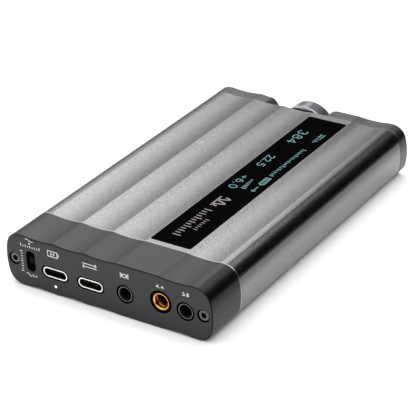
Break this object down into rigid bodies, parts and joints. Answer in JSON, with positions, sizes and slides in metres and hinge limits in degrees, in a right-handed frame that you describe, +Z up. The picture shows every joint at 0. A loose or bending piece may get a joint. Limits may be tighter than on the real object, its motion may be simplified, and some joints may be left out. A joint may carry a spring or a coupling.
{
  "type": "desktop dac",
  "caption": "Flat scalloped aluminium desktop DAC and headphone amplifier with a long display window, an end knob in a thumb dish, and USB-C and audio sockets.",
  "frame": {"origin": "on the standing surface, under the middle of the outer box", "axes": "+X right for someone facing the knob end, +Y from the knob end to the socket end, +Z up"},
  "size_m": [0.075, 0.1228, 0.0185],
  "materials": {
    "case_aluminium": "bead-blasted titanium-grey anodised",
    "cap_dark": "fine matte charcoal coating",
    "front_aluminium": "fine matte grey anodised",
    "knob_aluminium": "satin turned",
    "display_glass": "polished black glass",
    "gasket": "foam tape",
    "display_panel": "glass panel",
    "flex": "amber polyimide",
    "board": "green solder mask",
    "connector": "ivory nylon",
    "black_plastic": "moulded",
    "button_metal": "satin",
    "battery": "foil pouch",
    "wire_red": "silicone insulation",
    "wire_black": "silicone insulation",
    "steel": "bright nickel",
    "dark_steel": "black oxide",
    "gold": "gold plated",
    "light_pipe": "clear acrylic",
    "chip": "moulded epoxy",
    "tin": "tin plated",
    "film_cap": "epoxy",
    "antenna": "flexible circuit"
  },
  "bodies": {
    "housing": {"tube_case": "case_aluminium", "rear_cap": "cap_dark", "front_cap": "front_aluminium", "display_glass": "display_glass", "display_gasket": "gasket", "display_panel": "display_panel", "display_flex": "flex", "display_connector": "connector", "main_board": "board", "control_board": "board", "control_board_screws": "dark_steel", "board_link": "black_plastic", "battery_cell": "battery", "battery_tape": "gasket", "battery_connector": "connector", "battery_lead_positive": "wire_red", "battery_lead_negative": "wire_black", "usb_power_shell": "steel", "usb_data_shell": "steel", "usb_power_insulator": "black_plastic", "usb_data_insulator": "black_plastic", "digital_jack": "black_plastic", "line_jack": "black_plastic", "headphone_jack": "black_plastic", "balanced_line_jack": "black_plastic", "balanced_line_ring": "gold", "balanced_headphone_jack": "black_plastic", "balanced_headphone_ring": "gold", "eq_switch_body": "black_plastic", "match_switch_body": "black_plastic", "encoder_body": "black_plastic", "encoder_nut": "steel", "tact_switches": "tin", "light_pipe": "light_pipe", "status_led": "light_pipe", "rear_screws": "dark_steel", "front_screws": "dark_steel", "processor_chip": "chip", "dac_chip": "chip", "amplifier_chips": "chip", "power_chips": "chip", "crystal_oscillators": "tin", "wireless_shield": "tin", "output_relays": "black_plastic", "film_capacitors": "film_cap", "power_inductors": "chip", "polymer_capacitors": "tin", "chip_resistors": "chip", "antenna_strip": "antenna"},
    "encoder_plunger": {"encoder_plunger": "black_plastic"},
    "volume_knob": {"volume_knob": "knob_aluminium", "encoder_shaft": "steel"},
    "power_button": {"power_button": "button_metal", "power_switch_plunger": "black_plastic"},
    "input_button": {"input_button": "button_metal", "input_switch_plunger": "black_plastic"},
    "eq_slider": {"eq_switch_slider": "black_plastic"},
    "match_slider": {"match_switch_slider": "black_plastic"}
  },
  "joints": [
    {"name": "knob_push", "type": "slide", "parent": "housing", "child": "encoder_plunger", "axis": [0, 1, 0], "range_m": [0, 0.0005], "stiffness_N_per_m": 3000, "springref_m": -0.0006},
    {"name": "knob_turn", "type": "hinge", "parent": "encoder_plunger", "child": "volume_knob", "pos_m": [0, -0.058, 0.0093], "axis": [0, 1, 0], "continuous": true},
    {"name": "power_press", "type": "slide", "parent": "housing", "child": "power_button", "axis": [0, 1, 0], "range_m": [0, 0.0003], "stiffness_N_per_m": 3000, "springref_m": -0.0005},
    {"name": "input_press", "type": "slide", "parent": "housing", "child": "input_button", "axis": [0, 1, 0], "range_m": [0, 0.0003], "stiffness_N_per_m": 3000, "springref_m": -0.0005},
    {"name": "eq_slide", "type": "slide", "parent": "housing", "child": "eq_slider", "axis": [0, 0, 1], "range_m": [-0.002, 0.002]},
    {"name": "match_slide", "type": "slide", "parent": "housing", "child": "match_slider", "axis": [0, 1, 0], "range_m": [-0.002, 0.002]}
  ]
}
